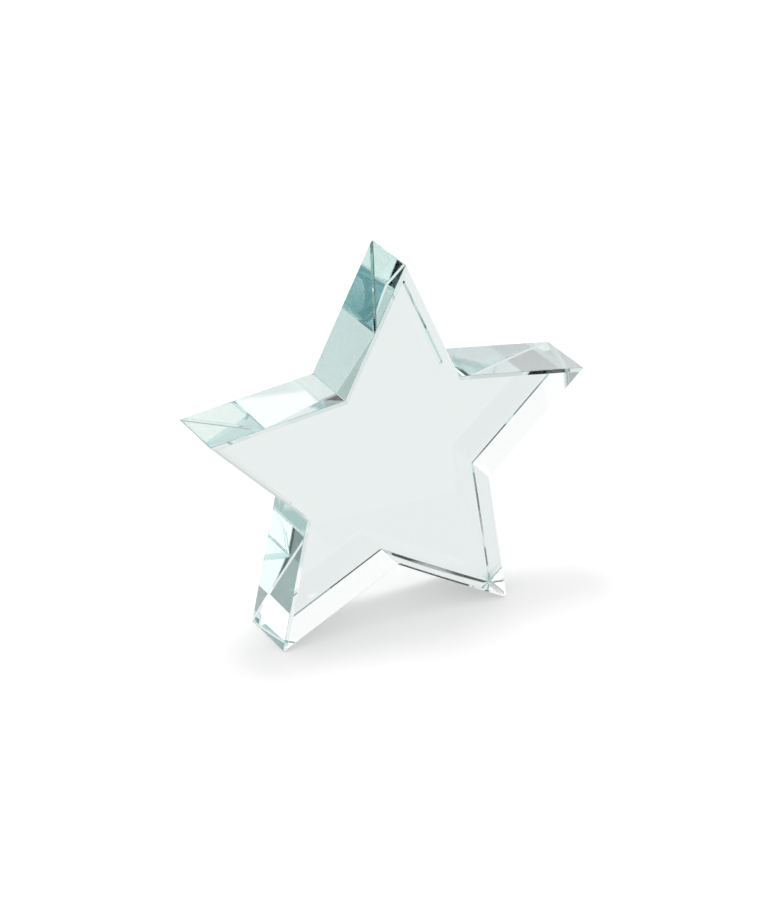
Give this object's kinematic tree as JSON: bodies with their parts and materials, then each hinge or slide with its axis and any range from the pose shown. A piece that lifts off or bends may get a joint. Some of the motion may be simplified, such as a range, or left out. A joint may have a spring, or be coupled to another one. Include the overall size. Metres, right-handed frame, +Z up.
{
  "type": "star trophy",
  "caption": "Solid clear glass star award with polished, bevelled edges, which stands upright on its lower points as a desk or shelf ornament.",
  "frame": {"origin": "on the standing surface, half way between the two feet and at mid-thickness", "axes": "+Z up through the top point, +X to the right as seen from the front, +Y from the front face to the back face"},
  "size_m": [0.1136, 0.02, 0.1079],
  "materials": {
    "crystal": "clear optical glass with a faint blue-green tint in depth, polished on every face"
  },
  "bodies": {
    "root": {"star_block": "crystal"}
  },
  "joints": []
}
